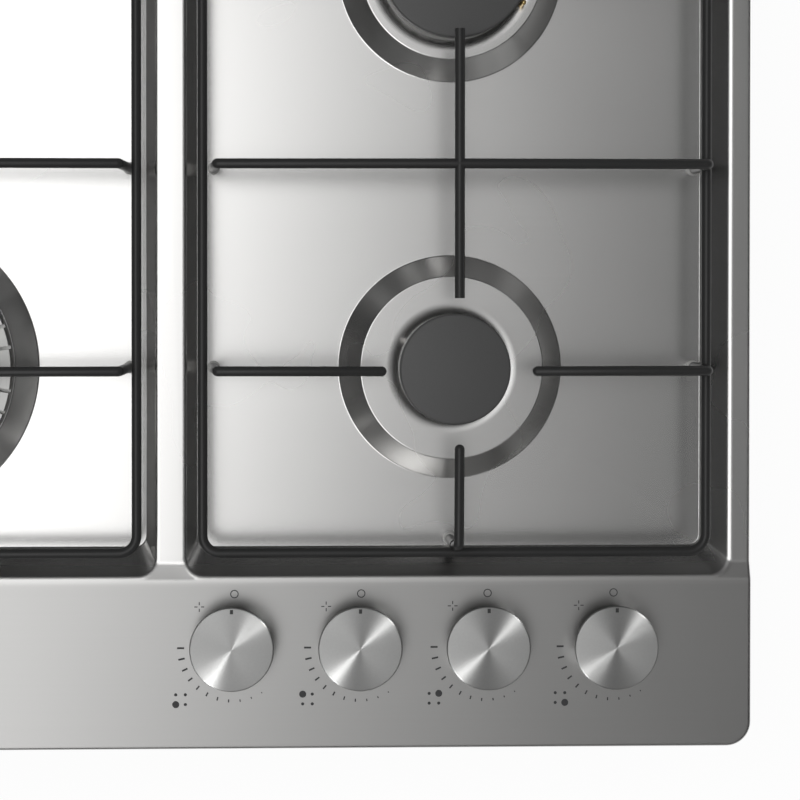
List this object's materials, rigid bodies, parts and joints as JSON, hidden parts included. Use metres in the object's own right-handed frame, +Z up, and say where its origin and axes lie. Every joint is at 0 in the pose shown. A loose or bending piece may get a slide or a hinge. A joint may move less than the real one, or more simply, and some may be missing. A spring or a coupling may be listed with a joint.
{
  "type": "gas cooktop",
  "caption": "Built-in steel gas cooktop with recessed pans, wire pan supports, round capped burners, front control knobs, gas rail and a tray below.",
  "frame": {"origin": "middle of the top in plan, on the worktop's surface, where the seal rests", "axes": "+X to the user's right, +Y to the back, +Z up"},
  "size_m": [0.595, 0.51, 0.1191],
  "materials": {
    "steel": "brushed",
    "galvanised": "dull",
    "zinc": "satin",
    "seal_rubber": "matt",
    "aluminium_alloy": "satin",
    "rail_steel": "satin",
    "enamel": "satin enamel",
    "brass": "satin",
    "ceramic": "glazed ceramic",
    "foot_rubber": "matt",
    "spindle_steel": "satin",
    "knob_metal": "turned",
    "dark_plastic": "matt",
    "pale_plastic": "matt"
  },
  "bodies": {
    "hob": {"top_plate": "steel", "bottom_tray": "galvanised", "rail_brackets": "galvanised", "fixing_clamps": "galvanised", "tray_screws": "zinc", "cup_screws": "zinc", "clamp_screws": "zinc", "spark_pins": "zinc", "rim_seal": "seal_rubber", "burner_cups": "aluminium_alloy", "gas_taps": "aluminium_alloy", "feed_tubes": "aluminium_alloy", "gas_rail": "rail_steel", "inlet_pipe": "rail_steel", "injectors": "brass", "thermocouples": "brass", "gas_inlet": "brass", "spark_insulators": "ceramic", "ignition_switches": "dark_plastic", "ignition_generator": "dark_plastic", "terminal_box": "pale_plastic"},
    "tap_stem_front_left": {"tap_plunger_front_left": "spindle_steel"},
    "knob_front_left": {"tap_spindle_front_left": "spindle_steel", "knob_front_left": "knob_metal"},
    "tap_stem_rear_left": {"tap_plunger_rear_left": "spindle_steel"},
    "knob_rear_left": {"tap_spindle_rear_left": "spindle_steel", "knob_rear_left": "knob_metal"},
    "tap_stem_rear_right": {"tap_plunger_rear_right": "spindle_steel"},
    "knob_rear_right": {"tap_spindle_rear_right": "spindle_steel", "knob_rear_right": "knob_metal"},
    "tap_stem_front_right": {"tap_plunger_front_right": "spindle_steel"},
    "knob_front_right": {"tap_spindle_front_right": "spindle_steel", "knob_front_right": "knob_metal"},
    "support_left": {"support_wire_left": "enamel", "support_bars_left": "enamel", "support_cross_bar_left": "enamel", "support_feet_left": "foot_rubber"},
    "support_right": {"support_wire_right": "enamel", "support_bars_right": "enamel", "support_cross_bar_right": "enamel", "support_feet_right": "foot_rubber"},
    "crown_front_left": {"burner_crown_front_left": "aluminium_alloy"},
    "cap_front_left": {"burner_cap_front_left": "enamel"},
    "crown_rear_left": {"burner_crown_rear_left": "aluminium_alloy"},
    "cap_rear_left": {"burner_cap_rear_left": "enamel"},
    "crown_rear_right": {"burner_crown_rear_right": "aluminium_alloy"},
    "cap_rear_right": {"burner_cap_rear_right": "enamel"},
    "crown_front_right": {"burner_crown_front_right": "aluminium_alloy"},
    "cap_front_right": {"burner_cap_front_right": "enamel"},
    "centre_cap_front_left": {"burner_centre_cap_front_left": "enamel"}
  },
  "joints": [
    {"name": "knob_push_front_left", "type": "slide", "parent": "hob", "child": "tap_stem_front_left", "axis": [0, 0, -1], "range_m": [0, 0.0035], "stiffness_N_per_m": 1000, "springref_m": -0.002},
    {"name": "knob_turn_front_left", "type": "hinge", "parent": "tap_stem_front_left", "child": "knob_front_left", "pos_m": [0.03105, -0.201, 0.02], "axis": [0, 0, 1], "range_deg": [0, 213]},
    {"name": "knob_push_rear_left", "type": "slide", "parent": "hob", "child": "tap_stem_rear_left", "axis": [0, 0, -1], "range_m": [0, 0.0035], "stiffness_N_per_m": 1000, "springref_m": -0.002},
    {"name": "knob_turn_rear_left", "type": "hinge", "parent": "tap_stem_rear_left", "child": "knob_rear_left", "pos_m": [0.09575, -0.201, 0.02], "axis": [0, 0, 1], "range_deg": [0, 213]},
    {"name": "knob_push_rear_right", "type": "slide", "parent": "hob", "child": "tap_stem_rear_right", "axis": [0, 0, -1], "range_m": [0, 0.0035], "stiffness_N_per_m": 1000, "springref_m": -0.002},
    {"name": "knob_turn_rear_right", "type": "hinge", "parent": "tap_stem_rear_right", "child": "knob_rear_right", "pos_m": [0.16045, -0.201, 0.02], "axis": [0, 0, 1], "range_deg": [0, 213]},
    {"name": "knob_push_front_right", "type": "slide", "parent": "hob", "child": "tap_stem_front_right", "axis": [0, 0, -1], "range_m": [0, 0.0035], "stiffness_N_per_m": 1000, "springref_m": -0.002},
    {"name": "knob_turn_front_right", "type": "hinge", "parent": "tap_stem_front_right", "child": "knob_front_right", "pos_m": [0.22515, -0.201, 0.02], "axis": [0, 0, 1], "range_deg": [0, 213]},
    {"name": "support_lift_left", "type": "slide", "parent": "hob", "child": "support_left", "axis": [0, 0, 1], "range_m": [0, 0.1]},
    {"name": "support_lift_right", "type": "slide", "parent": "hob", "child": "support_right", "axis": [0, 0, 1], "range_m": [0, 0.1]},
    {"name": "crown_lift_front_left", "type": "slide", "parent": "hob", "child": "crown_front_left", "axis": [0, 0, 1], "range_m": [0, 0.006]},
    {"name": "cap_lift_front_left", "type": "slide", "parent": "crown_front_left", "child": "cap_front_left", "axis": [0, 0, 1], "range_m": [0, 0.008]},
    {"name": "crown_lift_rear_left", "type": "slide", "parent": "hob", "child": "crown_rear_left", "axis": [0, 0, 1], "range_m": [0, 0.006]},
    {"name": "cap_lift_rear_left", "type": "slide", "parent": "crown_rear_left", "child": "cap_rear_left", "axis": [0, 0, 1], "range_m": [0, 0.008]},
    {"name": "crown_lift_rear_right", "type": "slide", "parent": "hob", "child": "crown_rear_right", "axis": [0, 0, 1], "range_m": [0, 0.006]},
    {"name": "cap_lift_rear_right", "type": "slide", "parent": "crown_rear_right", "child": "cap_rear_right", "axis": [0, 0, 1], "range_m": [0, 0.008]},
    {"name": "crown_lift_front_right", "type": "slide", "parent": "hob", "child": "crown_front_right", "axis": [0, 0, 1], "range_m": [0, 0.006]},
    {"name": "cap_lift_front_right", "type": "slide", "parent": "crown_front_right", "child": "cap_front_right", "axis": [0, 0, 1], "range_m": [0, 0.008]},
    {"name": "centre_cap_lift_front_left", "type": "slide", "parent": "crown_front_left", "child": "centre_cap_front_left", "axis": [0, 0, 1], "range_m": [0, 0.008]}
  ]
}
